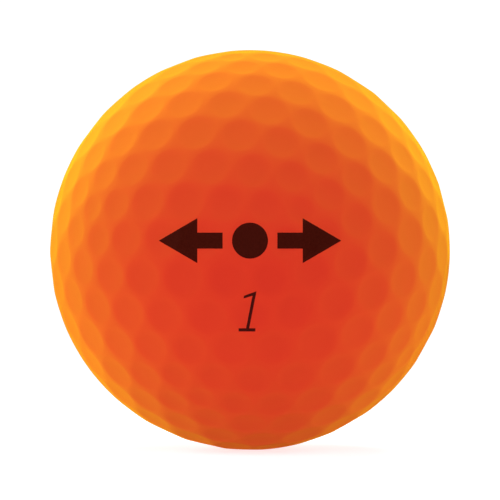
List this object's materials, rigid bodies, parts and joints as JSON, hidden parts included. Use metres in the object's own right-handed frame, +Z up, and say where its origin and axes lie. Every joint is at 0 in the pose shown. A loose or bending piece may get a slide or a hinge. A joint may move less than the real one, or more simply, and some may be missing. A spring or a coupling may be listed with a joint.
{
  "type": "golf ball",
  "caption": "Round golf ball with a matte orange dimpled cover over a mantle and a rubber core, with a printed numeral and a plain alignment arrow.",
  "frame": {"origin": "centre of the ball", "axes": "+Z up, -Y out through the middle of the front print, +X to the right of a reader who faces the front print"},
  "size_m": [0.0426, 0.0428, 0.0426],
  "materials": {
    "cover": "matte fluorescent orange urethane",
    "mantle": "plain off-white ionomer",
    "core": "dull blue-grey cured rubber",
    "ink": "matte dark brown pad-printed ink"
  },
  "bodies": {
    "root": {"core": "core", "mantle_lower": "mantle", "mantle_upper": "mantle", "cover_front": "cover", "cover_rear": "cover", "front_mark_left_arrow": "ink", "front_mark_dot": "ink", "front_mark_right_arrow": "ink", "front_numeral": "ink", "rear_mark_left_arrow": "ink", "rear_mark_dot": "ink", "rear_mark_right_arrow": "ink", "rear_numeral": "ink"}
  },
  "joints": []
}
